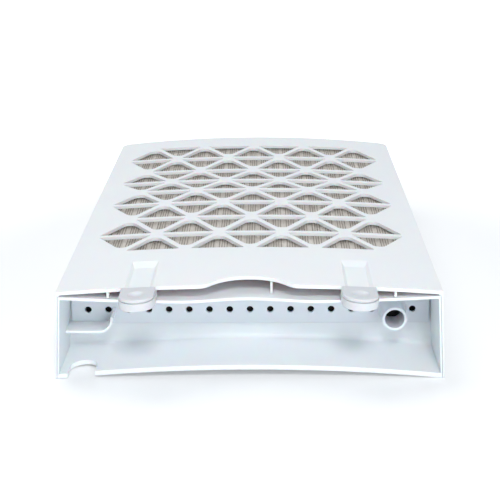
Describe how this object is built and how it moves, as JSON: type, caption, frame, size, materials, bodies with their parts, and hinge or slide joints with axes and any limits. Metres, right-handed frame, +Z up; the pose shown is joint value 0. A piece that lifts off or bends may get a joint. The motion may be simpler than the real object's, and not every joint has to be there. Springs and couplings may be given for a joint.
{
  "type": "evaporative cooler pad cassette",
  "caption": "Removable rear cassette of an evaporative air cooler: arched lattice grille over a wet pad, water trough with drip holes and overflow pipe, slide latches.",
  "frame": {"origin": "on the surface it rests on, under the middle of the overall box", "axes": "+Z up through the grille, -Y towards the trough mouth and latches, +Y towards the drain end, +X to the right seen from the trough end"},
  "size_m": [0.2466, 0.4404, 0.0631],
  "materials": {
    "panel_plastic": "satin white ABS",
    "trough_plastic": "satin white ABS",
    "latch_plastic": "satin white ABS",
    "inner_plastic": "matt white polypropylene",
    "mesh_net": "woven nylon net",
    "pad_fibre": "fluted cellulose fibre",
    "felt": "polyester felt",
    "foam_seal": "closed-cell foam",
    "rubber_seal": "flat rubber ring",
    "screw_steel": "zinc-plated steel"
  },
  "bodies": {
    "cassette": {"grille_panel": "panel_plastic", "drip_trough": "trough_plastic", "drip_plate": "trough_plastic", "plate_gasket": "rubber_seal", "diffuser_felt": "felt", "dust_mesh": "mesh_net", "mesh_frame": "inner_plastic", "evaporation_pad": "pad_fibre", "retaining_frame": "inner_plastic", "drain_tray": "inner_plastic", "side_seal_left": "foam_seal", "side_seal_right": "foam_seal", "latch_guide_left": "inner_plastic", "latch_guide_right": "inner_plastic", "guide_screws": "screw_steel", "frame_screws": "screw_steel", "trough_screws": "screw_steel", "tray_screws": "screw_steel"},
    "latch_left": {"latch_left": "latch_plastic"},
    "latch_right": {"latch_right": "latch_plastic"}
  },
  "joints": [
    {"name": "latch_left_slide", "type": "slide", "parent": "cassette", "child": "latch_left", "axis": [0, -1, 0], "range_m": [0, 0.012]},
    {"name": "latch_right_slide", "type": "slide", "parent": "cassette", "child": "latch_right", "axis": [0, -1, 0], "range_m": [0, 0.012]}
  ]
}
